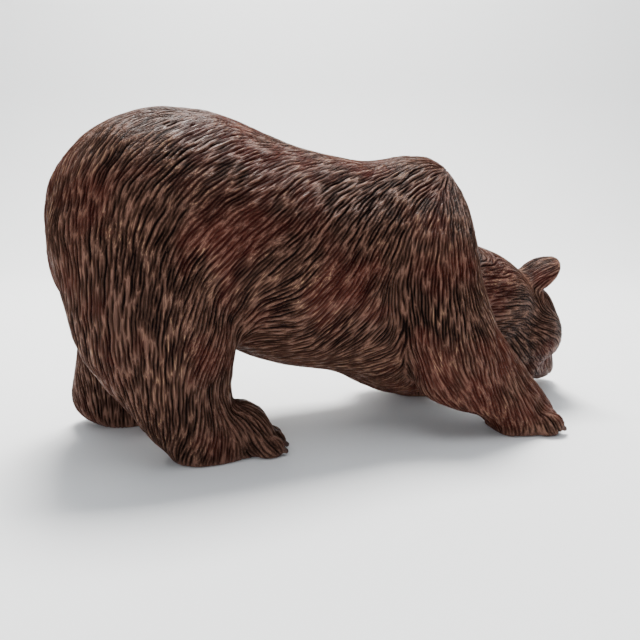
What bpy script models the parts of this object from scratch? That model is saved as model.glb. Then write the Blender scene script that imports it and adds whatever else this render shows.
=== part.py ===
"""A carved hardwood bear, standing head down with its muzzle turned to its left.

Metres, +Z up, +X towards the head, +Y to the bear's left. The origin is on the ground,
under the middle of the bear.

The figure is one block of wood. It is laid out on a carver's drawing whose millimetres
are shares of the bear's length, as flat slices through the legs, rings round the trunk
and neck, and rounded masses on the head and paws. The masses are fused into one skin,
eased where they meet, and cut flat under the feet.
"""

import math

import bmesh
import bpy
import numpy as np
from mathutils import Matrix, Vector

# Driving sizes, in metres
BEAR_LENGTH = 0.340
BODY_STEP = BEAR_LENGTH / 140
DETAIL_STEP = BEAR_LENGTH / 210
BODY_EASING_PASSES = 16
DETAIL_EASING_PASSES = 3

# The carver's drawing is this long from rump to nose. Every other number of the figure is
# a millimetre of that drawing.
DRAWING_LENGTH = 347.0
MM = BEAR_LENGTH / DRAWING_LENGTH
RING_POINTS = 28
RINGS_BETWEEN = 4
WANTED_TRIANGLES = 8400

WALNUT_STAIN = (0.045, 0.022, 0.014, 1.0)

# Trunk rings: x, top, bottom, half width, how far below the middle the widest point lies
TRUNK_RINGS = [
    (-64.5, 130.5, 108.5, 9.0, 0.0),
    (-63.0, 141.5, 98.5, 18.0, 0.0),
    (-58.5, 152.5, 86.5, 30.0, 0.0),
    (-48.0, 167.5, 72.5, 42.0, 2.0),
    (-30.0, 181.0, 60.5, 50.0, 4.0),
    (-6.0, 189.0, 52.5, 54.0, 6.0),
    (20.0, 187.5, 56.5, 55.0, 8.0),
    (45.0, 180.0, 46.0, 54.5, 8.0),
    (70.0, 170.5, 38.5, 54.0, 8.0),
    (95.0, 165.0, 33.5, 53.0, 8.0),
    (120.0, 161.5, 19.5, 51.0, 10.0),
    (145.0, 165.5, 13.5, 48.0, 12.0),
    (165.0, 161.5, 20.5, 43.0, 10.0),
    (180.0, 141.5, 36.5, 34.0, 6.0),
    (187.0, 115.5, 58.5, 20.0, 0.0),
]

# Leg slices: height, middle x, middle y, half length along x, half width along y
RIGHT_HIND_SLICES = [
    (158.5, -16.0, -16.0, 18.0, 9.0),
    (142.5, -17.0, -22.0, 38.0, 22.0),
    (122.5, -17.0, -27.0, 46.0, 29.0),
    (97.5, -15.5, -32.0, 43.5, 28.0),
    (77.5, -13.5, -34.5, 42.0, 25.0),
    (60.5, -10.5, -36.0, 40.5, 22.5),
    (44.5, -6.5, -36.5, 34.0, 20.5),
    (30.5, -1.5, -36.5, 29.0, 19.0),
    (16.5, 5.5, -36.5, 25.5, 18.0),
    (2.5, 12.0, -36.0, 21.0, 17.0),
    (-11.5, 16.0, -36.0, 18.0, 15.0),
]
LEFT_HIND_SLICES = [
    (158.5, -16.0, 16.0, 18.0, 9.0),
    (142.5, -17.0, 22.0, 38.0, 22.0),
    (122.5, -18.0, 27.0, 46.0, 29.0),
    (97.5, -20.0, 32.0, 42.0, 28.0),
    (77.5, -22.0, 34.5, 34.0, 25.0),
    (60.5, -26.5, 36.5, 27.5, 22.5),
    (44.5, -32.5, 38.0, 23.0, 20.5),
    (30.5, -37.0, 38.5, 21.5, 19.0),
    (16.5, -38.0, 38.5, 22.0, 18.0),
    (5.5, -31.0, 38.0, 24.0, 17.0),
    (-3.5, -16.0, 37.0, 20.0, 15.0),
    (-11.5, -8.0, 37.0, 16.0, 14.0),
]
RIGHT_FORE_SLICES = [
    (154.5, 149.0, -8.0, 12.0, 7.0),
    (142.5, 148.0, -14.0, 23.0, 17.0),
    (120.5, 146.0, -27.0, 29.0, 23.0),
    (97.5, 146.0, -37.0, 29.5, 24.0),
    (76.5, 151.0, -43.0, 29.5, 22.0),
    (62.5, 155.5, -46.0, 30.0, 20.0),
    (46.5, 163.0, -48.0, 35.0, 18.5),
    (33.5, 168.8, -49.0, 39.2, 17.5),
    (22.5, 179.0, -50.0, 38.5, 17.0),
    (12.5, 196.0, -50.5, 27.0, 17.0),
    (1.5, 204.0, -51.0, 22.0, 17.0),
    (-11.5, 207.0, -51.0, 17.0, 15.0),
]
LEFT_FORE_SLICES = [
    (154.5, 152.0, 8.0, 12.0, 7.0),
    (142.5, 151.0, 14.0, 23.0, 17.0),
    (120.5, 150.0, 27.0, 30.0, 23.0),
    (97.5, 148.0, 37.0, 31.5, 24.0),
    (76.5, 147.0, 43.0, 30.0, 22.0),
    (62.5, 148.0, 45.0, 30.5, 20.0),
    (46.5, 152.0, 46.0, 33.0, 18.5),
    (33.5, 158.0, 46.5, 33.0, 17.5),
    (22.5, 163.0, 44.5, 30.0, 17.0),
    (12.5, 171.0, 41.0, 26.0, 17.0),
    (1.5, 178.0, 38.5, 23.0, 16.5),
    (-11.5, 181.0, 38.0, 19.0, 15.0),
]

# Neck rings: middle x, y, z and radius
NECK_RINGS = [
    (140.0, 0.0, 98.5, 42.0),
    (176.0, 2.0, 78.5, 36.0),
    (206.0, 8.0, 68.5, 34.5),
    (230.0, 14.0, 59.5, 28.0),
]

# The head's place and turn, then its masses in its own axes: forward, left, up
HEAD_MIDDLE = (238.0, 14.0, 58.5)
HEAD_TURN_LEFT = 29.0
HEAD_DROP = 44.0
HEAD_ROLL = -10.0
HEAD_MASSES = [
    ("skull", (0.0, 0.0, 0.0), (31.0, 28.0, 24.0)),
    ("right_cheek", (11.0, -14.0, -7.0), (25.0, 17.0, 20.0)),
    ("left_cheek", (11.0, 14.0, -7.0), (25.0, 17.0, 20.0)),
    ("brow", (14.0, 0.0, 6.5), (19.0, 21.0, 12.5)),
    ("throat", (-2.0, 0.0, -20.0), (30.0, 19.0, 18.0)),
]
MUZZLE_RINGS = [
    (10.0, -2.0, 21.0, 20.0),
    (26.0, -4.0, 19.5, 17.0),
    (40.0, -6.0, 17.0, 14.5),
    (54.0, -7.0, 15.0, 12.0),
    (65.5, -7.0, 13.0, 9.5),
]
NOSE = ((65.5, 0.0, -2.5), (6.0, 8.0, 5.5))
LOWER_JAW_RINGS = [
    (14.0, -19.0, 16.0, 11.5),
    (34.0, -21.0, 13.5, 10.5),
    (51.0, -18.0, 11.0, 7.0),
]
EAR_PLACE = (-20.0, 17.0, 17.0)
EAR_SIZE = (6.0, 13.5, 18.0)
EAR_LEAN_OUT = 40.0
EYE_PLACE = (32.0, 14.0, 5.5)
EYE_RADIUS = 3.6

# A paw is half a length, half a width, a height and the radius of its toes. Its rings from the
# back: how far forward of the ball of the foot, how wide and how high, as shares of those.
HIND_PAW = (27.0, 18.5, 31.0, 6.6)
FORE_PAW = (17.0, 18.0, 21.0, 7.8)
PAW_RINGS = [
    (-0.80, 0.66, 0.40),
    (-0.45, 0.90, 0.86),
    (0.00, 1.00, 1.00),
    (0.45, 1.00, 0.94),
    (0.80, 0.92, 0.74),
    (0.98, 0.76, 0.38),
]
UNDER_GROUND = 6.0
TOES = 5
TOE_REACH = 1.25
TOE_NARROWING = 0.76
CLAW_LENGTH = 5.0
CLAW_RADIUS = 2.3
CLAW_SHOWN = 2.2
PAWS = [
    ("right_hind", (22.5, -34.0), 8.0, HIND_PAW),
    ("left_hind", (-12.0, 38.0), 4.0, HIND_PAW),
    ("right_fore", (197.5, -50.0), 1.0, FORE_PAW),
    ("left_fore", (182.0, 38.0), -8.0, FORE_PAW),
]


def clear_scene():
    for obj in list(bpy.data.objects):
        bpy.data.objects.remove(obj, do_unlink=True)


def wood_material():
    """Dark stained hardwood with a waxed sheen."""
    wood = bpy.data.materials.new("stained_wood")
    wood.use_nodes = True
    shader = wood.node_tree.nodes["Principled BSDF"]
    shader.inputs["Base Color"].default_value = WALNUT_STAIN
    shader.inputs["Roughness"].default_value = 0.45
    shader.inputs["Metallic"].default_value = 0.0
    return wood


def smooth_stations(stations, between=RINGS_BETWEEN):
    """The stations with more set between them on a smooth curve through all their values."""
    given = np.array(stations, float)
    ends = np.vstack([2 * given[0] - given[1], given, 2 * given[-1] - given[-2]])
    rows = []
    for before, start, end, after in zip(ends, ends[1:], ends[2:], ends[3:]):
        for share in np.linspace(0.0, 1.0, between, endpoint=False):
            rows.append(
                start
                + 0.5 * share * (end - before)
                + share**2 * (before - 2.5 * start + 2 * end - 0.5 * after)
                + share**3 * (1.5 * (start - end) + 0.5 * (after - before))
            )
    rows.append(given[-1])
    return rows


def add_loft(mesh, rings):
    """A closed skin over rings, each one (middle, across vector, up vector, lower the widest point)."""
    loops = []
    for middle, across, upward, drop in rings:
        loop = []
        for step in range(RING_POINTS):
            turn = 2 * math.pi * step / RING_POINTS
            sag = drop * math.cos(turn) ** 2
            point = middle + across * math.cos(turn) + upward * math.sin(turn)
            loop.append(mesh.verts.new(point - upward.normalized() * sag))
        loops.append(loop)
    for low, high in zip(loops, loops[1:]):
        for i in range(RING_POINTS):
            j = (i + 1) % RING_POINTS
            mesh.faces.new((low[i], low[j], high[j], high[i]))
    mesh.faces.new(reversed(loops[0]))
    mesh.faces.new(loops[-1])


def add_ellipsoid(mesh, place, radii, turn=Matrix.Identity(3)):
    matrix = Matrix.Translation(place) @ turn.to_4x4() @ Matrix.Diagonal((*radii, 1.0))
    bmesh.ops.create_uvsphere(mesh, u_segments=24, v_segments=16, radius=1.0, matrix=matrix)


def trunk(mesh):
    rings = []
    for x, top, bottom, half_width, drop in smooth_stations(TRUNK_RINGS):
        middle = Vector((x, 0.0, (top + bottom) / 2))
        upward = Vector((0.0, 0.0, (top - bottom) / 2))
        rings.append((middle, Vector((0.0, half_width, 0.0)), upward, drop))
    add_loft(mesh, rings)


def leg(mesh, slices):
    rings = []
    for height, x, y, half_length, half_width in smooth_stations(slices):
        middle = Vector((x, y, height))
        along = Vector((half_length, 0.0, 0.0))
        rings.append((middle, along, Vector((0.0, half_width, 0.0)), 0.0))
    add_loft(mesh, rings)


def neck(mesh):
    stations = smooth_stations(NECK_RINGS)
    rings = []
    for i, (x, y, z, radius) in enumerate(stations):
        before, after = stations[max(i - 1, 0)], stations[min(i + 1, len(stations) - 1)]
        way = Vector(after[:3] - before[:3]).normalized()
        across = Vector((0.0, 0.0, 1.0)).cross(way).normalized()
        rings.append((Vector((x, y, z)), across * radius, way.cross(across) * radius, 0.0))
    add_loft(mesh, rings)


def head_turn():
    """The head's axes on the drawing: x forward along the muzzle, y left, z up through the brow."""
    return (
        Matrix.Rotation(math.radians(HEAD_TURN_LEFT), 3, "Z")
        @ Matrix.Rotation(math.radians(HEAD_DROP), 3, "Y")
        @ Matrix.Rotation(math.radians(HEAD_ROLL), 3, "X")
    )


def on_head(place):
    return Vector(HEAD_MIDDLE) + head_turn() @ Vector(place)


def head_masses(mesh):
    for _, place, radii in HEAD_MASSES:
        add_ellipsoid(mesh, on_head(place), radii, head_turn())


def snout(mesh, stations):
    turn = head_turn()
    rings = []
    for forward, up, half_width, half_height in smooth_stations(stations):
        middle = on_head((forward, 0.0, up))
        across = turn @ Vector((0.0, half_width, 0.0))
        rings.append((middle, across, turn @ Vector((0.0, 0.0, half_height)), 0.0))
    add_loft(mesh, rings)


def ears(mesh):
    for side in (-1, 1):
        lean = Matrix.Rotation(math.radians(-side * EAR_LEAN_OUT), 3, "X")
        forward, out, up = EAR_PLACE
        add_ellipsoid(mesh, on_head((forward, side * out, up)), EAR_SIZE, head_turn() @ lean)


def nose_and_eyes(mesh):
    add_ellipsoid(mesh, on_head(NOSE[0]), NOSE[1], head_turn())
    for side in (-1, 1):
        forward, out, up = EYE_PLACE
        add_ellipsoid(mesh, on_head((forward, side * out, up)), (EYE_RADIUS,) * 3)


def claw(mesh, root, turn):
    """A tapered nail that curves down from the toe."""
    rings = []
    for share in (0.0, 0.35, 0.7, 1.0):
        middle = root + turn @ Vector((CLAW_LENGTH * share, 0.0, -0.32 * CLAW_LENGTH * share**2))
        radius = CLAW_RADIUS * (1.0 - 0.72 * share)
        across = turn @ Vector((0.0, radius, 0.0))
        rings.append((middle, across, Vector((0.0, 0.0, radius * 1.25)), 0.0))
    add_loft(mesh, rings)


def paw(mesh, ball, heading, sizes):
    """A paw that is flat below, with a fan of toes that end in claws."""
    half_length, half_width, height, toe_radius = sizes
    reach = toe_radius * TOE_REACH
    turn = Matrix.Rotation(math.radians(heading), 3, "Z")
    foot = Vector((ball[0], ball[1], 0.0))
    rings = []
    for forward, wide, high in PAW_RINGS:
        top = height * high
        middle = foot + turn @ Vector((half_length * forward, 0.0, (top - UNDER_GROUND) / 2))
        across = turn @ Vector((0.0, half_width * wide, 0.0))
        rings.append((middle, across, Vector((0.0, 0.0, (top + UNDER_GROUND) / 2)), 0.0))
    add_loft(mesh, rings)
    for toe in range(TOES):
        share = toe / (TOES - 1) - 0.5
        forward = half_length * (0.94 - 0.8 * share**2)
        place = foot + turn @ Vector((forward, -1.7 * half_width * share, toe_radius * 0.85))
        toe_turn = turn @ Matrix.Rotation(math.radians(-28.0 * share), 3, "Z")
        add_ellipsoid(mesh, place, (reach, toe_radius * TOE_NARROWING, toe_radius), toe_turn)
        root = Vector((reach + CLAW_SHOWN - CLAW_LENGTH, 0.0, -toe_radius * 0.25))
        claw(mesh, place + toe_turn @ root, toe_turn)


def drawing_mesh(name, *makers):
    """One mesh of closed shells from the functions that add them."""
    shells = bmesh.new()
    for maker, values in makers:
        maker(shells, *values)
    bmesh.ops.recalc_face_normals(shells, faces=shells.faces)
    bmesh.ops.scale(shells, vec=(MM, MM, MM), verts=shells.verts)
    made = bpy.data.meshes.new(name)
    shells.to_mesh(made)
    shells.free()
    return made


def fuse(obj, step, passes):
    """Modifiers that make overlapping shells one skin and ease the corners between them."""
    remesh = obj.modifiers.new("one_skin", "REMESH")
    remesh.mode = "VOXEL"
    remesh.voxel_size = step
    smooth = obj.modifiers.new("eased_corners", "SMOOTH")
    smooth.factor = 0.5
    smooth.iterations = passes


def new_object(name, mesh):
    obj = bpy.data.objects.new(name, mesh)
    bpy.context.scene.collection.objects.link(obj)
    return obj


def evaluated_mesh(obj):
    bpy.context.view_layer.update()
    graph = bpy.context.evaluated_depsgraph_get()
    return bpy.data.meshes.new_from_object(obj.evaluated_get(graph))


def skin_of(shells, step, passes):
    """The mesh of the fused and eased shells."""
    helper = new_object("helper", shells)
    fuse(helper, step, passes)
    skin = evaluated_mesh(helper)
    bpy.data.objects.remove(helper, do_unlink=True)
    return skin


def body_shells():
    return drawing_mesh(
        "body_shells",
        (trunk, ()),
        (leg, (RIGHT_HIND_SLICES,)),
        (leg, (LEFT_HIND_SLICES,)),
        (leg, (RIGHT_FORE_SLICES,)),
        (leg, (LEFT_FORE_SLICES,)),
        (neck, ()),
        (head_masses, ()),
        (snout, (MUZZLE_RINGS,)),
        (snout, (LOWER_JAW_RINGS,)),
    )


def detail_shells():
    paws = [(paw, values[1:]) for values in PAWS]
    return drawing_mesh("detail_shells", (nose_and_eyes, ()), (ears, ()), *paws)


def joined_mesh(*meshes):
    both = bmesh.new()
    for mesh in meshes:
        both.from_mesh(mesh)
    joined = bpy.data.meshes.new("joined")
    both.to_mesh(joined)
    both.free()
    return joined


def centre_on_origin(mesh):
    """Moves the mesh sideways so that the middle of its box is over the origin."""
    places = np.array([vertex.co for vertex in mesh.vertices])
    middle = (places.min(axis=0) + places.max(axis=0)) / 2
    mesh.transform(Matrix.Translation((-middle[0], -middle[1], 0.0)))


def thin_out(obj):
    """Fewer triangles, larger where the skin is flatter."""
    thinned = obj.modifiers.new("fewer_facets", "DECIMATE")
    thinned.ratio = WANTED_TRIANGLES / (2 * len(obj.data.polygons))


def cut_soles_flat(obj):
    """Takes off all that lies under the ground, so that the four feet stand on flat soles."""
    block = bmesh.new()
    depth = BEAR_LENGTH / 4
    size = Matrix.Diagonal((4 * BEAR_LENGTH, 4 * BEAR_LENGTH, depth, 1.0))
    bmesh.ops.create_cube(block, size=1.0, matrix=Matrix.Translation((0.0, 0.0, -depth / 2)) @ size)
    block_mesh = bpy.data.meshes.new("ground")
    block.to_mesh(block_mesh)
    block.free()
    ground = new_object("ground", block_mesh)
    ground.hide_render = True
    ground.display_type = "WIRE"
    cut = obj.modifiers.new("flat_soles", "BOOLEAN")
    cut.operation = "DIFFERENCE"
    cut.solver = "EXACT"
    cut.object = ground


def main():
    clear_scene()
    body = skin_of(body_shells(), BODY_STEP, BODY_EASING_PASSES)
    whole = joined_mesh(body, detail_shells())
    skin = skin_of(whole, DETAIL_STEP, DETAIL_EASING_PASSES)
    block = new_object("carved_block", skin)
    thin_out(block)
    cut_soles_flat(block)
    carved = evaluated_mesh(block)
    clear_scene()
    centre_on_origin(carved)
    carved.materials.clear()
    carved.materials.append(wood_material())
    new_object("bear", carved)


main()
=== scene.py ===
import itertools
import math
import random
from collections import deque

import bmesh
import bpy
import numpy as np
from mathutils import Matrix, Vector
from mathutils.bvhtree import BVHTree
from mathutils.kdtree import KDTree


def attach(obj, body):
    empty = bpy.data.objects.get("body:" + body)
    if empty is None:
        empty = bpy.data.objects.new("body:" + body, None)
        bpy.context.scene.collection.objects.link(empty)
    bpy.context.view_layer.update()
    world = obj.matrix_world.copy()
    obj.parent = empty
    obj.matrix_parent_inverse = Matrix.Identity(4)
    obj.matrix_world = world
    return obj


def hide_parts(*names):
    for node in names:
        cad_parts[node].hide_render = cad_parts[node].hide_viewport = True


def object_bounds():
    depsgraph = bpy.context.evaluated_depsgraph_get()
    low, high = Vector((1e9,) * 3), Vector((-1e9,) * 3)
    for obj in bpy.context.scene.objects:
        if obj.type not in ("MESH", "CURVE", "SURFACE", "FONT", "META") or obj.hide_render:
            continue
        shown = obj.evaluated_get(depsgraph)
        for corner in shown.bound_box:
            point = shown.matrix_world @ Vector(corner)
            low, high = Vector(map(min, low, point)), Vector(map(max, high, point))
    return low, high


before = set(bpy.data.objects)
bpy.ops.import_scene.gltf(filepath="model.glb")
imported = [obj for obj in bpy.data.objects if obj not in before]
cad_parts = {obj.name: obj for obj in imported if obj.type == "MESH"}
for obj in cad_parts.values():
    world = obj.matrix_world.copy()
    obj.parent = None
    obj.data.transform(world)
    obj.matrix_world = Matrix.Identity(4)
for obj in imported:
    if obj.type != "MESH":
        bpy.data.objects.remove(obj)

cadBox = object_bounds()
print("frame loaded, sides", [round(side, 4) for side in cadBox[1] - cadBox[0]])

# The carver's drawing: millimetres forwards from the hip, to the bear's left and up from the
# ground. Its length runs from rump to nose, and its middle is over the frame's origin.
drawing = {"length": 348.94, "middleX": 109.86, "middleY": -1.64}
mm = (cadBox[1].x - cadBox[0].x) / drawing["length"]


def onDrawing(x, y, z):
    return Vector((x - drawing["middleX"], y - drawing["middleY"], z)) * mm


# The head's own axes: forwards along the muzzle, to its left, up through the brow.
head = {"middle": (238.0, 14.0, 58.5), "turnLeft": 29.0, "drop": 44.0, "roll": -10.0}
headAxes = (
    Matrix.Rotation(math.radians(head["turnLeft"]), 3, "Z")
    @ Matrix.Rotation(math.radians(head["drop"]), 3, "Y")
    @ Matrix.Rotation(math.radians(head["roll"]), 3, "X")
)


def onHead(forward, left, up):
    return onDrawing(*head["middle"]) + headAxes @ Vector((forward, left, up)) * mm


# Mesh helpers

def newObject(name, mesh):
    made = bpy.data.objects.new(name, mesh)
    bpy.context.scene.collection.objects.link(made)
    return made


def meshAfter(mesh, kind, **settings):  # the mesh as one modifier leaves it
    helper = newObject("helper", mesh)
    modifier = helper.modifiers.new("step", kind)
    for name, value in settings.items():
        setattr(modifier, name, value)
    bpy.context.view_layer.update()
    graph = bpy.context.evaluated_depsgraph_get()
    made = bpy.data.meshes.new_from_object(helper.evaluated_get(graph))
    bpy.data.objects.remove(helper, do_unlink=True)
    return made


def placesOf(mesh):
    flat = np.empty(len(mesh.vertices) * 3, np.float32)
    mesh.vertices.foreach_get("co", flat)
    return flat.reshape(-1, 3).astype(float)


def normalsOf(mesh):
    flat = np.empty(len(mesh.vertices) * 3, np.float32)
    mesh.vertex_normals.foreach_get("vector", flat)
    return flat.reshape(-1, 3).astype(float)


def setPlaces(mesh, places):
    mesh.vertices.foreach_set("co", places.astype(np.float32).ravel())
    mesh.update()


def neighbourMean(pairs, count, values):
    first, second = pairs[:, 0], pairs[:, 1]
    total = [
        np.bincount(first, column[second], len(values)) + np.bincount(second, column[first], len(values))
        for column in values.T
    ]
    return np.stack(total, axis=1) / count[:, None]


def ease(mesh, passes):
    # rounds off facets, then gives back the volume that the rounding took
    pairs = np.empty(len(mesh.edges) * 2, np.int32)
    mesh.edges.foreach_get("vertices", pairs)
    pairs = pairs.reshape(-1, 2)
    count = np.maximum(np.bincount(pairs.ravel(), minlength=len(mesh.vertices)), 1)

    def rounded(values):
        for turn in range(passes):
            values = 0.5 * values + 0.5 * neighbourMean(pairs, count, values)
        return values

    places = placesOf(mesh)
    soft = rounded(places)
    setPlaces(mesh, soft + rounded(places - soft))


def softNoise(places, size, seed):
    # random values on a cubic lattice of that size, eased between its points, from -1 to 1
    side = 48
    lattice = np.random.default_rng(seed).random((side, side, side))
    scaled = places / size
    cell = np.floor(scaled).astype(int)
    share = scaled - cell
    share = share * share * (3 - 2 * share)
    total = np.zeros(len(places))
    for corner in itertools.product((0, 1), repeat=3):
        weight = np.prod(np.where(corner, share, 1 - share), axis=1)
        x, y, z = ((cell + corner) % side).T
        total += weight * lattice[x, y, z]
    return total * 2 - 1


# What the block leaves too coarse: toes, claws, ears, nose and eyes, as crisp rounded masses

paws = {
    "hind": {"halfLength": 27.0, "halfWidth": 18.5, "toeRadius": 6.6},
    "fore": {"halfLength": 17.0, "halfWidth": 18.0, "toeRadius": 7.8},
    "toes": 5,
    "toeReach": 1.25,
    "toeNarrowing": 0.72,
    "clawLength": 5.2,
    "clawRadius": 2.3,
    "clawShown": 0.5,
    "clawBalls": 9,
    "clawTaper": 0.45,
    "clawDroop": 0.3,  # share of its length that the tip hangs below the root
    "clawHang": 0.2,  # share of the toe radius that the root sits below the toe's middle
    "rowForward": 0.94,  # toe row, as shares of the paw's half length and half width
    "rowCurve": 0.8,
    "rowWidth": 1.7,
    "toeHeight": 0.85,
    "toeSplay": 28.0,
    "spots": [
        ("hind", (22.5, -34.0), 8.0),
        ("hind", (-12.0, 38.0), 4.0),
        ("fore", (197.5, -50.0), 1.0),
        ("fore", (182.0, 38.0), -8.0),
    ],
}
face = {
    "nose": ((65.5, 0.0, -2.5), (6.0, 8.0, 5.5)),
    "eye": (32.0, 14.0, 5.5),
    "eyeRadius": 3.7,
    "ear": (-20.0, 17.0, 17.0),
    "earSize": (5.6, 13.2, 17.8),
    "earLeanOut": 40.0,
}


def unitBall(around=32, rows=18):  # points and faces of a closed ball
    points = [(0.0, 0.0, 1.0)]
    for row in range(1, rows):
        tilt = math.pi * row / rows
        for turn in range(around):
            angle = 2 * math.pi * turn / around
            out = math.sin(tilt)
            points.append((out * math.cos(angle), out * math.sin(angle), math.cos(tilt)))
    points.append((0.0, 0.0, -1.0))
    last = len(points) - 1
    faces = []
    for turn in range(around):
        onward = (turn + 1) % around
        faces.append((0, 1 + turn, 1 + onward))
        faces.append((last, last - around + onward, last - around + turn))
        for row in range(rows - 2):
            start = 1 + row * around
            faces.append((start + turn, start + around + turn, start + around + onward, start + onward))
    return np.array(points), faces


ball = unitBall()


def addBall(shells, middle, radii, axes):
    points, faces = ball
    shift = len(shells["points"])
    placed = (points * radii * mm) @ np.array(axes).T + np.array(middle)
    shells["points"].extend(placed.tolist())
    shells["faces"].extend([tuple(corner + shift for corner in face) for face in faces])


def toeSpots():  # (place on the drawing, axes, toe radius) of every toe
    found = []
    for kind, (x, y), heading in paws["spots"]:
        foot, radius = paws[kind], paws[kind]["toeRadius"]
        turn = Matrix.Rotation(math.radians(heading), 3, "Z")
        for toe in range(paws["toes"]):
            share = toe / (paws["toes"] - 1) - 0.5
            forward = foot["halfLength"] * (paws["rowForward"] - paws["rowCurve"] * share**2)
            across = -paws["rowWidth"] * foot["halfWidth"] * share
            place = Vector((x, y, 0.0)) + turn @ Vector((forward, across, radius * paws["toeHeight"]))
            splay = Matrix.Rotation(math.radians(-paws["toeSplay"] * share), 3, "Z")
            found.append((place, turn @ splay, radius))
    return found


def addToe(shells, place, axes, radius):
    reach = radius * paws["toeReach"]
    addBall(shells, onDrawing(*place), (reach, radius * paws["toeNarrowing"], radius), axes)
    long = paws["clawLength"]
    root = place + axes @ Vector((reach + paws["clawShown"] - long, 0.0, -radius * paws["clawHang"]))
    balls = paws["clawBalls"]
    for number in range(balls):
        share = number / (balls - 1)
        along = Vector((long * share, 0.0, -paws["clawDroop"] * long * share**2))
        thick = paws["clawRadius"] * (1.0 - paws["clawTaper"] * share)
        addBall(shells, onDrawing(*(root + axes @ along)), (thick * 1.1, thick, thick * 1.2), axes)


def crispMasses():
    shells = {"points": [], "faces": []}
    for place, axes, radius in toeSpots():
        addToe(shells, place, axes, radius)
    addBall(shells, onHead(*face["nose"][0]), face["nose"][1], headAxes)
    for side in (-1, 1):
        lean = Matrix.Rotation(math.radians(-side * face["earLeanOut"]), 3, "X")
        forward, out, up = face["ear"]
        addBall(shells, onHead(forward, side * out, up), face["earSize"], headAxes @ lean)
        forward, out, up = face["eye"]
        addBall(shells, onHead(forward, side * out, up), (face["eyeRadius"],) * 3, headAxes)
    made = bpy.data.meshes.new("crispMasses")
    made.from_pydata(shells["points"], [], shells["faces"])
    made.update()
    return made


def together(*meshes):
    both = bmesh.new()
    for mesh in meshes:
        both.from_mesh(mesh)
    made = bpy.data.meshes.new("together")
    both.to_mesh(made)
    both.free()
    return made


skin = {
    "formStep": 1.3,  # mm, the smooth form that the strokes are laid on
    "formEasing": 14,
    "carvedStep": 0.52,  # mm, the skin that the gouge cuts into
    "carvedEasing": 2,
    "triangles": 196000,
}
lie = {"ways": 9, "sharpness": 22, "long": 14.0, "wide": 0.5}  # mm, fine hairs between the strokes


def smoothForm():
    step = skin["formStep"] * mm
    form = meshAfter(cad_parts["bear"].data, "REMESH", mode="VOXEL", voxel_size=step)
    ease(form, skin["formEasing"])
    return form


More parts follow.
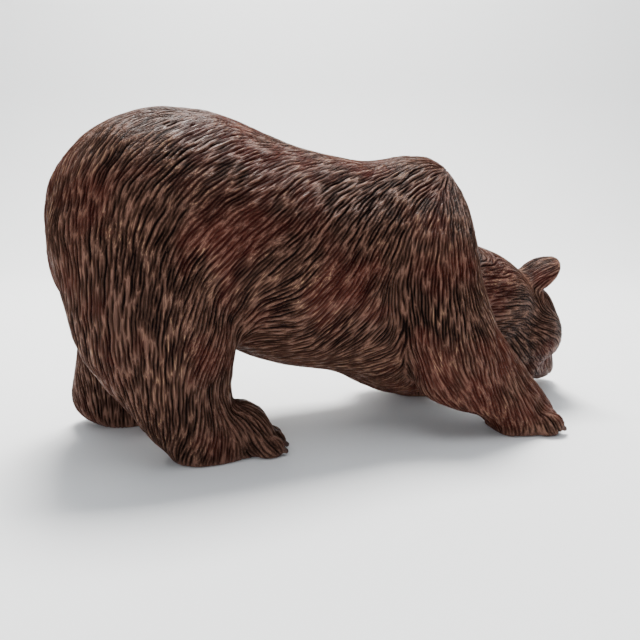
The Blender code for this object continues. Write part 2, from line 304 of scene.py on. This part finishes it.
# The lie of the coat. A row is a place on the drawing's right side and which way the hair runs
# there, as forward, outward and upward shares. It is mirrored to the left side.
coat = {
    "trunk": [
        (-55, -18, 153, -0.30, 0.55, -0.78),
        (-66, 0, 118, 0.00, 0.00, -1.00),
        (-48, 0, 168, -0.70, 0.05, -0.70),
        (-32, -28, 168, -0.61, 0.39, -0.69),
        (-9, -40, 162, -0.74, 0.30, -0.61),
        (17, -32, 172, -0.80, 0.48, -0.36),
        (0, 0, 189, -1.00, 0.05, 0.00),
        (45, 0, 180, -1.00, 0.05, 0.00),
        (95, 0, 165, -1.00, 0.05, 0.00),
        (145, 0, 166, -1.00, 0.05, 0.10),
        (-46, -46, 129, -0.06, 0.43, -0.90),
        (-30, -54, 123, -0.14, 0.29, -0.95),
        (-6, -53, 128, -0.53, 0.18, -0.83),
        (13, -53, 128, -0.74, 0.09, -0.66),
        (-19, -59, 105, -0.19, 0.11, -0.98),
        (37, -47, 144, -0.85, 0.34, -0.40),
        (72, -18, 165, -0.90, 0.45, -0.19),
        (56, -46, 137, -0.71, 0.39, -0.58),
        (48, -53, 115, -0.80, 0.10, -0.59),
        (77, -49, 124, -0.66, 0.29, -0.70),
        (98, -28, 151, -0.81, 0.51, -0.28),
        (113, -40, 130, -0.64, 0.44, -0.63),
        (105, -51, 103, -0.55, 0.23, -0.80),
        (28, -54, 100, -0.67, -0.12, -0.73),
        (72, -53, 92, -0.72, -0.05, -0.69),
        (52, -52, 85, -0.94, -0.10, -0.31),
        (49, -47, 71, -0.99, -0.14, 0.00),
        (80, -51, 77, -0.66, -0.23, -0.72),
        (95, -49, 69, -0.65, -0.31, -0.69),
        (110, -42, 48, -0.80, -0.48, -0.35),
        (60, 0, 42, -1.00, 0.00, 0.00),
        (110, 0, 26, -1.00, 0.00, 0.00),
        (10, 0, 56, -1.00, 0.00, 0.00),
        (-48, 0, 74, -0.30, 0.00, -0.95),
    ],
    "shoulder": [
        (123, -53, 82, 0.14, 0.04, -0.99),
        (140, -25, 150, -0.87, 0.33, -0.38),
        (127, -37, 133, -0.62, 0.41, -0.67),
        (163, -33, 136, -0.20, 0.60, -0.75),
        (128, -52, 109, -0.33, 0.24, -0.91),
        (153, -57, 105, -0.15, 0.30, -0.93),
        (135, -61, 89, -0.05, 0.09, -0.99),
        (154, -64, 81, 0.14, 0.17, -0.98),
        (168, -61, 76, 0.54, 0.00, -0.84),
        (180, -6, 128, 0.30, 0.20, -0.93),
        (188, -6, 105, 0.10, 0.30, -0.93),
    ],
    "foreleg": [
        (144, -64, 69, 0.10, 0.08, -0.99),
        (131, -55, 47, 0.26, 0.22, -0.94),
        (163, -66, 54, 0.27, 0.04, -0.96),
        (188, -62, 48, 0.49, 0.05, -0.87),
        (144, -61, 30, 0.59, 0.02, -0.81),
        (184, -67, 17, 0.36, -0.05, -0.93),
        (201, -66, 15, 0.50, 0.16, -0.85),
        (210, -59, 23, 0.75, 0.05, -0.66),
        (193, -67, 5, 0.28, -0.19, -0.94),
        (213, -48, 16, 0.90, 0.00, -0.43),
        (165, -33, 50, 0.20, 0.00, -0.98),
    ],
    "hindLeg": [
        (25, -50, 87, -0.36, -0.29, -0.88),
        (32, -46, 75, -0.45, -0.53, -0.72),
        (-44, -52, 80, 0.01, -0.11, -0.99),
        (-31, -55, 57, 0.13, -0.22, -0.97),
        (-39, -45, 47, 0.30, -0.43, -0.85),
        (-17, -58, 56, -0.04, -0.10, -0.99),
        (14, -52, 60, -0.44, 0.15, -0.88),
        (-18, -52, 31, 0.07, -0.31, -0.95),
        (5, -54, 12, -0.36, -0.14, -0.92),
        (17, -53, 11, -0.20, 0.02, -0.98),
        (29, -51, 17, 0.35, 0.30, -0.89),
        (38, -47, 19, 0.59, 0.13, -0.80),
        (31, -44, 26, 0.73, 0.40, -0.55),
        (36, -34, 27, 0.88, 0.05, -0.47),
        (46, -49, 10, 0.57, 0.44, -0.69),
    ],
    "neck": [  # as laid, right then left
        (191, -27, 93, -0.90, 0.41, 0.05),
        (204, -27, 68, -0.95, 0.28, 0.05),
        (190, 34, 93, -0.90, -0.20, 0.20),
        (204, 41, 66, -0.95, -0.10, 0.10),
        (204, 6, 101, -0.80, 0.05, 0.55),
        (200, 10, 36, -0.95, 0.00, 0.10),
    ],
    "head": [  # in the head's axes, mirrored
        (4, 0, 25, -1.00, 0.10, 0.05),
        (24, 8, 18, -0.95, 0.20, 0.30),
        (48, 0, 5, -1.00, 0.00, 0.15),
        (44, 15, -7, -1.00, 0.15, 0.00),
        (22, 27, -8, -0.92, 0.30, -0.25),
        (4, 27, -22, -0.85, 0.20, -0.50),
        (30, 0, -27, -1.00, 0.00, -0.05),
        (-2, 0, -38, -1.00, 0.00, -0.10),
        (-20, 22, 22, 0.00, 0.80, 0.60),
        (-20, 30, 32, 0.00, 0.75, 0.66),
        (-8, 14, 20, -0.40, 0.80, 0.45),
    ],
    "leftFootBack": {"hindLeg": 34.5, "foreleg": 16.0},  # the left feet stand this much further back
    "kneeHeight": 100.0,
    "blend": 6.0,
}


def coatGuides():
    spots, ways = [], []

    def add(place, way):
        spots.append(place)
        ways.append(Vector(way).normalized())

    for part in ("trunk", "shoulder", "foreleg", "hindLeg"):
        for x, y, z, forward, out, up in coat[part]:
            add(onDrawing(x, y, z), (forward, -out, up))
            back = coat["leftFootBack"].get(part, 0.0) * max(0.0, 1 - z / coat["kneeHeight"])
            add(onDrawing(x - back, -y, z), (forward, out, up))
    for x, y, z, forward, out, up in coat["neck"]:
        add(onDrawing(x, y, z), (forward, -out, up))
    for forward, out, up, wayForward, wayOut, wayUp in coat["head"]:
        for side in (-1, 1):
            add(onHead(forward, side * out, up), headAxes @ Vector((wayForward, side * wayOut, wayUp)))
    return np.array(spots), np.array(ways)


def lieOfCoat(places, normals):
    # each place's hair direction, from the guides near it, laid flat on the surface
    spots, ways = coatGuides()
    total = np.zeros_like(places)
    for spot, way in zip(spots, ways):
        apart = ((places - spot) ** 2).sum(axis=1) / mm**2
        total += way * (1.0 / (apart + coat["blend"] ** 2) ** 2)[:, None]
    total -= normals * (total * normals).sum(axis=1, keepdims=True)
    return total / np.maximum(np.linalg.norm(total, axis=1, keepdims=True), 1e-12)


# Where the carver left the wood smooth: 1 is bare, 0 is full coat

bare = {
    "muzzleFrom": 46.0,
    "muzzleTo": 66.0,
    "halfWidth": 24.0,  # the muzzle's box across the head and up it
    "bottom": -34.0,
    "top": 16.0,
    "eyeFrom": 1.15,  # in eye radii
    "eyeTo": 1.9,
    "soleFrom": 0.2,
    "soleHeight": 0.9,
    "standing": 0.35,
}


def inHead(places):
    return ((places - np.array(onDrawing(*head["middle"]))) @ np.array(headAxes)) / mm


def easedStep(values, low, high):
    share = np.clip((values - low) / (high - low), 0, 1)
    return share * share * (3 - 2 * share)


def bareness(places):
    forward, left, up = inHead(places).T
    onMuzzle = (np.abs(left) < bare["halfWidth"]) & (up > bare["bottom"]) & (up < bare["top"])
    smooth = np.where(onMuzzle, easedStep(forward, bare["muzzleFrom"], bare["muzzleTo"]), 0)
    for side in (-1, 1):
        eyeGap = np.linalg.norm(
            np.stack([forward, left, up], axis=1) - np.array(face["eye"]) * (1, side, 1), axis=1
        )
        rim = [face["eyeRadius"] * bare[edge] for edge in ("eyeFrom", "eyeTo")]
        smooth = np.maximum(smooth, 1 - easedStep(eyeGap, *rim))
    smooth = np.maximum(smooth, 1 - easedStep(places[:, 2] / mm, bare["soleFrom"], bare["soleHeight"]))
    return smooth


def clawness(places):  # 1 on a claw
    found = np.zeros(len(places))
    for place, axes, radius in toeSpots():
        inToe = ((places - np.array(onDrawing(*place))) @ np.array(axes)) / mm
        reach = radius * paws["toeReach"]
        beyond = easedStep(inToe[:, 0], reach - 1.5, reach)
        near = (np.abs(inToe[:, 1]) < paws["clawRadius"] * 1.3) & (inToe[:, 2] < radius * 0.2)
        found = np.maximum(found, np.where(near & (inToe[:, 0] < reach * 2), beyond, 0))
    return found


# Gouge strokes. Each follows the lie of the coat and keeps its distance from those beside it.

gouge = {
    "pitch": 1.8,
    "legPitch": 1.7,
    "headPitch": 1.45,
    "step": 1.3,
    "shortest": 8.0,
    "lengths": (24.0, 76.0),
    "closest": 0.6,  # share of the pitch at which a stroke stops beside another
    "waver": 0.1,
    "taper": 6.0,
    "depth": 1.5,
    "headDepth": 0.8,
    "footDepth": 1.1,
    "strengths": (0.6, 1.1),
    "unevenness": 0.2,
    "unevenSize": 16.0,
    "footRise": (30.0, 70.0),  # heights between which foot strokes become body strokes
    "headStart": (196.0, 214.0),
    "pawSide": -32.0,
    "sampleStep": 0.65,
    "halfWidth": 0.6,  # share of the pitch
    "sharpness": 1.3,
    "seed": 7,
}


def pitches(places):
    onFeet = 1 - easedStep(places[:, 2] / mm, *gouge["footRise"])
    nearHead = easedStep(places[:, 0] / mm + drawing["middleX"], *gouge["headStart"])
    pitch = gouge["pitch"] + (gouge["legPitch"] - gouge["pitch"]) * onFeet
    isPaw = places[:, 1] / mm + drawing["middleY"] < gouge["pawSide"]
    nearHead = np.where(isPaw, 0, nearHead)
    return pitch + (gouge["headPitch"] - pitch) * nearHead, nearHead, onFeet


class LaidStrokes:
    def __init__(self, form):
        places, normals = placesOf(form), normalsOf(form)
        faces = np.empty(len(form.polygons) * 4, np.int32)
        form.polygons.foreach_get("vertices", faces)
        faces = faces.reshape(-1, 4)
        centres = places[faces].mean(axis=1)
        flow = lieOfCoat(centres, normals[faces].mean(axis=1))
        self.flow = [Vector(way) for way in flow]
        pitch, nearHead, onFeet = pitches(centres)
        self.pitch = (pitch * mm).tolist()
        self.bare = bareness(centres).tolist()
        self.tree = BVHTree.FromPolygons(places.tolist(), faces.tolist())
        self.cell = gouge["pitch"] * mm
        self.taken = {}
        self.centres = centres
        self.random = random.Random(gouge["seed"])

    def key(self, spot):
        return tuple(math.floor(value / self.cell) for value in spot)

    def crowded(self, spot, way, gap):
        x, y, z = self.key(spot)
        along = gouge["step"] * 0.8 * mm
        for nearX in (x - 1, x, x + 1):
            for nearY in (y - 1, y, y + 1):
                for nearZ in (z - 1, z, z + 1):
                    for other in self.taken.get((nearX, nearY, nearZ), ()):
                        apart = spot - other
                        ahead = apart.dot(way)
                        if abs(ahead) < along and apart.length_squared - ahead * ahead < gap * gap:
                            return True
        return False

    def follow(self, start, sense, reach):
        path, spot, heading = [], start, None
        bend = self.random.uniform(0, 2 * math.pi)
        for turn in range(int(reach / (gouge["step"] * mm))):
            spot, normal, face, gap = self.tree.find_nearest(spot)
            way = self.flow[face] - normal * self.flow[face].dot(normal)
            if way.length < 0.2 or self.bare[face] > 0.7:
                break
            way.normalize()
            sway = gouge["waver"] * math.sin(bend + turn * 0.55)
            way = (way + normal.cross(way) * sway).normalized()
            if heading is not None and way.dot(heading) < 0.5:
                break
            if turn and self.crowded(spot, way, self.pitch[face] * gouge["closest"]):
                break
            path.append((spot, way, face, normal))
            heading = way
            spot = spot + way * (sense * gouge["step"] * mm)
        return path

    def lay(self):
        strokes = []
        starts = deque()
        spread = list(range(0, len(self.centres), 23))
        self.random.shuffle(spread)
        shortest, longest = gouge["lengths"]
        while starts or spread:
            if not starts:
                starts.append(Vector(self.centres[spread.pop()]))
            spot, normal, face, gap = self.tree.find_nearest(starts.popleft())
            if self.bare[face] > 0.6 or self.crowded(spot, self.flow[face], self.pitch[face] * 0.86):
                continue
            reach = self.random.uniform(shortest, longest) * mm * 0.5
            back = self.follow(spot, -1, reach)
            ahead = self.follow(spot, 1, reach)
            path = back[:0:-1] + ahead
            if len(path) * gouge["step"] < gouge["shortest"]:
                continue
            strokes.append(path)
            for place, way, face, normal in path:
                self.taken.setdefault(self.key(place), []).append(place)
            for place, way, face, normal in path[::4]:
                side = normal.cross(way) * self.pitch[face]
                starts.append(place + side * self.random.uniform(0.92, 1.08))
                starts.append(place - side * self.random.uniform(0.92, 1.08))
        return strokes


def strokeCuts(strokes):
    # points along every stroke: place, direction, depth, half width, stroke number
    rows = []
    dice = random.Random(gouge["seed"] + 1)
    for number, path in enumerate(strokes):
        strength = dice.uniform(*gouge["strengths"])
        length = (len(path) - 1) * gouge["step"]
        between = max(1, round(gouge["step"] / gouge["sampleStep"]))
        for index in range(len(path) - 1):
            place, way = path[index][:2]
            onward = path[index + 1][0]
            for part in range(between):
                share = part / between
                at = (index + share) * gouge["step"]
                end = min(at, length - at)
                taper = min(1.0, (end + 0.6) / gouge["taper"]) ** 0.7
                rows.append((*place.lerp(onward, share), *way, strength * taper, number))
    rows = np.array(rows)
    places, ways = rows[:, :3], rows[:, 3:6]
    pitch, nearHead, onFeet = pitches(places)
    depth = gouge["depth"] * (1 + gouge["unevenness"] * softNoise(places, gouge["unevenSize"] * mm, 11))
    depth = depth + (gouge["footDepth"] - depth) * onFeet * 0.6
    depth = depth + (gouge["headDepth"] - depth) * nearHead
    depth = depth * rows[:, 6] * (1 - bareness(places))
    return places, ways, depth * mm, pitch * gouge["halfWidth"] * mm, rows[:, 7].astype(int)


# Deeper lines the carver cut by name, as points on the right side and how wide and deep they run

cuts = {
    "onBody": [
        ("behind the shoulder", [(119, -46, 104), (119, -50, 78), (122, -50, 54), (132, -50, 36)], 7.0, 2.8),
    ],
    "onHead": [
        ("mouth", [(68, 3, -13), (64, 11, -13), (52, 14.5, -14), (38, 17.5, -15.5)], 1.6, 1.5),
        ("lip under the nose", [(71, 0, -6), (69, 0, -13)], 1.1, 0.9),
        ("upper lid", [(27, 17, 6), (31, 16.5, 10), (35.5, 13.5, 9), (38, 11.5, 4.5)], 1.3, 1.3),
        ("lower lid", [(27, 18, 4.5), (31, 18, 0.5), (35.5, 15.5, 0.5), (38, 12.5, 3.5)], 1.1, 1.0),
        ("nostril", [(70.5, 5.5, -2.0), (69, 7.5, -3.0), (66.5, 8.3, -2.2)], 1.5, 1.8),
    ],
    "step": 0.6,
}


def curvePoints(points, step):
    # a smooth run through the points
    given = [Vector(point) for point in points]
    ends = [2 * given[0] - given[1], *given, 2 * given[-1] - given[-2]]
    run = []
    for before, start, end, after in zip(ends, ends[1:], ends[2:], ends[3:]):
        parts = max(2, round((end - start).length / step))
        for part in range(parts):
            share = part / parts
            run.append(
                start
                + 0.5 * share * (end - before)
                + share**2 * (before - 2.5 * start + 2 * end - 0.5 * after)
                + share**3 * (1.5 * (start - end) + 0.5 * (after - before))
            )
    return run + [given[-1]]


def namedCuts(tree):
    lines = []
    for title, points, width, depth in cuts["onBody"]:
        for side in (1, -1):
            run = [onDrawing(x, y * side, z) for x, y, z in curvePoints(points, cuts["step"])]
            lines.append((run, width, depth))
    for title, points, width, depth in cuts["onHead"]:
        for side in (1, -1):
            run = [onHead(x, y * side, z) for x, y, z in curvePoints(points, cuts["step"])]
            lines.append((run, width, depth))
    rows = []
    for run, width, depth in lines:
        run = [tree.find_nearest(place)[0] for place in run]
        for index, place in enumerate(run):
            way = (run[min(index + 1, len(run) - 1)] - run[max(index - 1, 0)]).normalized()
            end = min(index, len(run) - 1 - index) / max(1, len(run) * 0.22)
            rows.append((*place, *way, depth * mm * min(1.0, 0.35 + end), width * mm))
    rows = np.array(rows)
    return rows[:, :3], rows[:, 3:6], rows[:, 6], rows[:, 7]


def cutDepths(places, spots, ways, depths, reaches, nearest):
    # how deep the gouge goes at each place, and which of the nearest points it passes
    tree = KDTree(len(spots))
    for index, spot in enumerate(spots):
        tree.insert(spot, index)
    tree.balance()
    found = np.array([[hit[1] for hit in tree.find_n(place, nearest)] for place in places.tolist()])
    deepest = np.zeros(len(places))
    for column in found.T:
        apart = places - spots[column]
        ahead = (apart * ways[column]).sum(axis=1)
        across = np.sqrt(np.maximum((apart**2).sum(axis=1) - ahead**2, 0))
        beyond = np.maximum(np.abs(ahead) - 0.5 * mm, 0)
        share = np.clip(1 - np.hypot(across, beyond) / reaches[column], 0, 1)
        deepest = np.maximum(deepest, depths[column] * share ** gouge["sharpness"])
    return deepest, found


locks = {"size": 17.0, "height": 0.75, "smallSize": 6.5, "smallHeight": 0.28}


def carve():
    form = smoothForm()
    print("smooth form,", len(form.vertices), "points")
    whole = together(form, crispMasses())
    fine = meshAfter(whole, "REMESH", mode="VOXEL", voxel_size=skin["carvedStep"] * mm)
    ease(fine, skin["carvedEasing"])
    places, normals = placesOf(fine), normalsOf(fine)
    print("skin to carve,", len(places), "points")
    smooth = np.maximum(bareness(places), clawness(places))

    laid = LaidStrokes(meshAfter(whole, "REMESH", mode="VOXEL", voxel_size=skin["formStep"] * mm))
    strokes = laid.lay()
    print(len(strokes), "gouge strokes")
    spots, ways, depths, reaches, numbers = strokeCuts(strokes)
    deepest, found = cutDepths(places, spots, ways, depths, reaches, 8)
    print("strokes cut,", len(spots), "points")
    named = cutDepths(places, *namedCuts(laid.tree), 4)[0]
    lump = locks["height"] * softNoise(places, locks["size"] * mm, 3)
    lump += locks["smallHeight"] * softNoise(places, locks["smallSize"] * mm, 4)
    headPart = pitches(places)[1]
    lump *= (1 - smooth) * (1 - 0.6 * headPart)
    total = deepest * (1 - smooth) + named - lump * mm
    standing = places[:, 2] < bare["standing"] * mm
    total[standing] = 0
    carved = places - normals * total[:, None]
    carved[:, 2] = np.maximum(carved[:, 2], 0)
    setPlaces(fine, carved)

    tones = np.random.default_rng(5).random(len(strokes))
    nearest = numbers[found]
    first = nearest[:, 0]
    other = first.copy()
    for column in nearest.T[::-1]:
        other = np.where(column != first, column, other)
    fullDepth = gouge["depth"] + (gouge["headDepth"] - gouge["depth"]) * headPart
    values = {
        "cutDepth": np.clip(deepest / (fullDepth * mm), 0, 1),
        "strandTone": 0.5 * (tones[first] + tones[other]),
        "smoothWood": smooth,
    }
    for name, column in values.items():
        fine.attributes.new(name, "FLOAT", "POINT").data.foreach_set("value", column.astype(np.float32))
    ratio = min(1.0, skin["triangles"] / (2 * len(fine.polygons)))
    thin = meshAfter(fine, "DECIMATE", ratio=ratio)
    thin.name = "bearCarving"
    print("carved skin,", len(thin.polygons), "faces", [a.name for a in thin.attributes])
    thin.shade_smooth()
    return newObject("bearCarving", thin), markLie(thin)


def commonWays(ways, count):  # the few directions that lie closest to the coat's own
    chosen = ways[np.linspace(0, len(ways) - 1, count).astype(int)].copy()
    for turn in range(14):
        likeness = ways @ chosen.T
        nearest = np.abs(likeness).argmax(axis=1)
        for number in range(count):
            own = nearest == number
            if own.any():
                total = (ways[own] * np.sign(likeness[own, number])[:, None]).sum(axis=0)
                chosen[number] = total / np.linalg.norm(total)
    return chosen


def markLie(mesh):
    ways = lieOfCoat(placesOf(mesh), normalsOf(mesh))
    chosen = commonWays(ways, lie["ways"])
    weights = np.abs(ways @ chosen.T) ** lie["sharpness"]
    weights /= np.maximum(np.linalg.norm(weights, axis=1, keepdims=True), 1e-9)
    for number, column in enumerate(weights.T):
        layer = mesh.attributes.new(f"lie{number}", "FLOAT", "POINT")
        layer.data.foreach_set("value", column.astype(np.float32))
    return chosen


# Materials

def linear(hexColour):
    parts = [int(hexColour[at : at + 2], 16) / 255 for at in (1, 3, 5)]
    return (*(c / 12.92 if c <= 0.04045 else ((c + 0.055) / 1.055) ** 2.4 for c in parts), 1.0)


def addNode(tree, kind, links=(), **settings):  # settings are node properties, or inputs as in_NAME
    node = tree.nodes.new(kind)
    for name, value in settings.items():
        if name.startswith("in_"):
            key = name[3:].replace("_", " ")
            node.inputs[int(key) if key.isdigit() else key].default_value = value
        else:
            setattr(node, name, value)
    for source, target in links:
        tree.links.new(source, node.inputs[target])
    return node


def newMaterial(name):
    made = bpy.data.materials.new(name)
    made.use_nodes = True
    made.node_tree.nodes.clear()
    return made


def ramp(tree, source, *stops):
    node = addNode(tree, "ShaderNodeValToRGB", [(source, "Fac")])
    while len(node.color_ramp.elements) < len(stops):
        node.color_ramp.elements.new(0.5)
    for element, (at, colour) in zip(node.color_ramp.elements, stops):
        element.position = at
        element.color = linear(colour) if isinstance(colour, str) else (colour, colour, colour, 1)
    return node.outputs["Color"]


def blend(tree, share, low, high, kind="MIX"):
    node = addNode(tree, "ShaderNodeMix", data_type="RGBA", blend_type=kind)
    for source, target in ((share, 0), (low, 6), (high, 7)):
        if isinstance(source, (int, float)):
            node.inputs[target].default_value = source
        elif isinstance(source, str):
            node.inputs[target].default_value = linear(source)
        else:
            tree.links.new(source, node.inputs[target])
    return node.outputs[2]


def times(tree, first, second):
    return addNode(tree, "ShaderNodeMath", [(first, 0), (second, 1)], operation="MULTIPLY").outputs[0]


def perMetre(millimetres):  # a pattern's scale from the size of its marks
    return 1000 / millimetres


stain = {
    # the recess colour is partly stain pooled in the cuts and partly painted shade at their bottoms
    "recessStainAndShade": "#150c0a",
    "body": "#51372c",
    "ridge": "#845f50",
    "mahogany": "#6f3129",
    "ochre": "#b9936c",
    "muzzle": "#54403a",
}
marks = {"red": 46.0, "worn": 26.0, "gloss": 22.0, "pores": 2.2}  # mm


def fineHairs(tree, place, ways, long, wide):  # noise drawn out along the lie of the coat
    total = 0.0
    for number, way in enumerate(ways):
        turn = Vector(way).to_track_quat("X", "Z").to_euler()
        laid = addNode(
            tree, "ShaderNodeMapping", [(place, "Vector")], vector_type="TEXTURE",
            in_Rotation=turn, in_Scale=(long / 1000, wide / 1000, wide / 1000),
        ).outputs[0]
        noise = addNode(tree, "ShaderNodeTexNoise", [(laid, "Vector")], in_Scale=1.0, in_Detail=1.5)
        share = addNode(tree, "ShaderNodeAttribute", attribute_name=f"lie{number}").outputs["Fac"]
        centred = addNode(
            tree, "ShaderNodeMath", [(noise.outputs["Fac"], 0)], operation="SUBTRACT", in_1=0.5
        ).outputs[0]
        added = addNode(
            tree, "ShaderNodeMath", [(centred, 0), (share, 1)], operation="MULTIPLY_ADD", in_2=0.5
        )
        if number:
            tree.links.new(total, added.inputs[2])
        total = added.outputs[0]
    return total


def stainedHardwood(ways):
    # hardwood under dark walnut stain and a worn satin lacquer: the colour darkens with cut depth, partly
    # from stain pooled in the cuts and partly as painted shade at the bottom of the cuts; the ridges are
    # rubbed back to tan, and the lacquer gives them small cold highlights
    wood = newMaterial("stained hardwood, satin lacquer")
    tree = wood.node_tree
    place = addNode(tree, "ShaderNodeTexCoord").outputs["Object"]

    def pattern(size, detail=3.0, roughness=0.55):
        return addNode(
            tree, "ShaderNodeTexNoise", [(place, "Vector")],
            in_Scale=perMetre(size), in_Detail=detail, in_Roughness=roughness,
        ).outputs["Fac"]

    def attribute(name):
        return addNode(tree, "ShaderNodeAttribute", attribute_name=name).outputs["Fac"]

    depth, tone, smooth = attribute("cutDepth"), attribute("strandTone"), attribute("smoothWood")
    hairs = fineHairs(tree, place, ways, lie["long"], lie["wide"])
    redPatches = ramp(tree, pattern(marks["red"]), (0.48, 0.0), (0.62, 1.0))
    wornPatches = ramp(tree, pattern(marks["worn"], 4.0), (0.44, 0.0), (0.66, 1.0))
    specks = ramp(tree, hairs, (0.56, 0.0), (0.70, 1.0))
    # painted shade: the colour runs from ridge through body to the near-black recess colour as the cuts
    # deepen, standing in for shade in the cuts as well as pooled stain
    colour = ramp(tree, depth, (0.0, stain["ridge"]), (0.24, stain["body"]), (0.62, stain["recessStainAndShade"]))
    colour = blend(tree, redPatches, colour, blend(tree, 0.3, colour, stain["mahogany"]))
    onRidge = ramp(tree, depth, (0.05, 1.0), (0.25, 0.0))
    worn = times(tree, times(tree, specks, wornPatches), onRidge)
    colour = blend(tree, worn, colour, stain["ochre"])
    colour = blend(tree, 1.0, colour, ramp(tree, tone, (0.1, 0.78), (0.9, 1.0)), "MULTIPLY")
    colour = blend(tree, 1.0, colour, ramp(tree, hairs, (0.38, 0.5), (0.57, 1.0)), "MULTIPLY")
    colour = blend(tree, smooth, colour, stain["muzzle"])
    roughness = ramp(tree, pattern(marks["pores"]), (0.3, 0.34), (0.7, 0.58))
    grain = addNode(
        tree, "ShaderNodeBump", [(hairs, "Height")], in_Strength=0.8, in_Distance=0.0016
    ).outputs["Normal"]
    glossy = ramp(tree, pattern(marks["gloss"], 4.0), (0.40, 0.0), (0.60, 1.0))
    lacquer = times(tree, glossy, ramp(tree, hairs, (0.50, 0.0), (0.62, 0.25)))
    lacquer = times(tree, lacquer, ramp(tree, depth, (0.05, 1.0), (0.3, 0.0)))
    gleam = ramp(tree, depth, (0.1, 0.09), (0.5, 0.03))
    shader = addNode(
        tree, "ShaderNodeBsdfPrincipled",
        [
            (colour, "Base Color"), (roughness, "Roughness"), (grain, "Normal"),
            (gleam, "Specular IOR Level"), (lacquer, "Coat Weight"),
        ],
        in_IOR=1.5, in_Metallic=0.0, in_Coat_Roughness=0.2,
    )
    addNode(tree, "ShaderNodeOutputMaterial", [(shader.outputs[0], "Surface")])
    return wood


def plainSurface(name, hexColour, roughness):
    made = newMaterial(name)
    tree = made.node_tree
    shader = addNode(
        tree, "ShaderNodeBsdfPrincipled", in_Base_Color=linear(hexColour), in_Roughness=roughness
    )
    addNode(tree, "ShaderNodeOutputMaterial", [(shader.outputs[0], "Surface")])
    return made


# Stage, light and camera

studio = {
    "sweep": "#f4f5f5",
    "world": "#e6edf2",
    "worldStrength": 0.16,
    "floorHalf": 2.4,
    "wallAt": 0.62,
    "wallRound": 0.35,
    "wallHigh": 2.4,
    "wallSteps": 16,
    "turn": -18.0,
}


def paperSweep():
    # one sheet: a flat floor that curves up into the wall behind the bear
    profile = [(-studio["floorHalf"], 0.0), (studio["wallAt"], 0.0)]
    turns = studio["wallSteps"]
    for turn in range(1, turns + 1):
        angle = math.pi / 2 * turn / turns
        profile.append((
            studio["wallAt"] + studio["wallRound"] * math.sin(angle),
            studio["wallRound"] * (1 - math.cos(angle)),
        ))
    profile.append((profile[-1][0], studio["wallHigh"]))
    sheet = bmesh.new()
    rows = []
    for away, up in profile:
        rows.append([sheet.verts.new((x, away, up)) for x in (-studio["floorHalf"], studio["floorHalf"])])
    for low, high in zip(rows, rows[1:]):
        sheet.faces.new((low[0], low[1], high[1], high[0]))
    mesh = bpy.data.meshes.new("paperSweep")
    sheet.to_mesh(mesh)
    sheet.free()
    mesh.shade_smooth()
    made = newObject("paperSweep", mesh)
    made.rotation_euler.z = math.radians(studio["turn"])
    mesh.materials.append(plainSurface("matt white paper", studio["sweep"], 0.9))


lamps = [
    ("lamp above the bear", (0.05, 0.5, 1.4), (0.0, 0.0, 0.0), 0.5, 53.0, "#fffdfa"),
    ("ceiling", (0.0, 0.0, 1.8), (0.0, 0.0, 0.0), 2.2, 32.0, "#f6faff"),
    ("low window behind the camera", (-0.75, -1.4, 0.22), (0.0, 0.0, 0.08), 0.8, 12.0, "#f4f8ff"),
]


def addLamps():
    for name, place, target, size, power, colour in lamps:
        data = bpy.data.lights.new(name, "AREA")
        data.shape = "SQUARE"
        data.size = size
        data.energy = power
        data.color = linear(colour)[:3]
        lamp = newObject(name, data)
        lamp.location = place
        lamp.rotation_mode = "QUATERNION"
        lamp.rotation_quaternion = (Vector(target) - Vector(place)).to_track_quat("-Z", "Y")
    world = bpy.data.worlds.new("pale room")
    world.use_nodes = True
    sky = world.node_tree.nodes["Background"]
    sky.inputs["Color"].default_value = linear(studio["world"])
    sky.inputs["Strength"].default_value = studio["worldStrength"]
    bpy.context.scene.world = world


camera = {"place": (-0.14193, -0.36994, 0.13963), "looks": (0.3034, 0.9337, -0.1904), "lens": 37.125}


def addCamera():
    data = bpy.data.cameras.new("camera")
    data.sensor_width = 36.0
    data.lens = camera["lens"]
    data.clip_start = 0.01
    made = newObject("camera", data)
    made.location = camera["place"]
    made.rotation_mode = "QUATERNION"
    made.rotation_quaternion = Vector(camera["looks"]).to_track_quat("-Z", "Y")
    bpy.context.scene.camera = made


addCamera()
addLamps()
paperSweep()
bear, ways = carve()
bear.data.materials.clear()
bear.data.materials.append(stainedHardwood(ways))
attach(bear, "root")
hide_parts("bear")
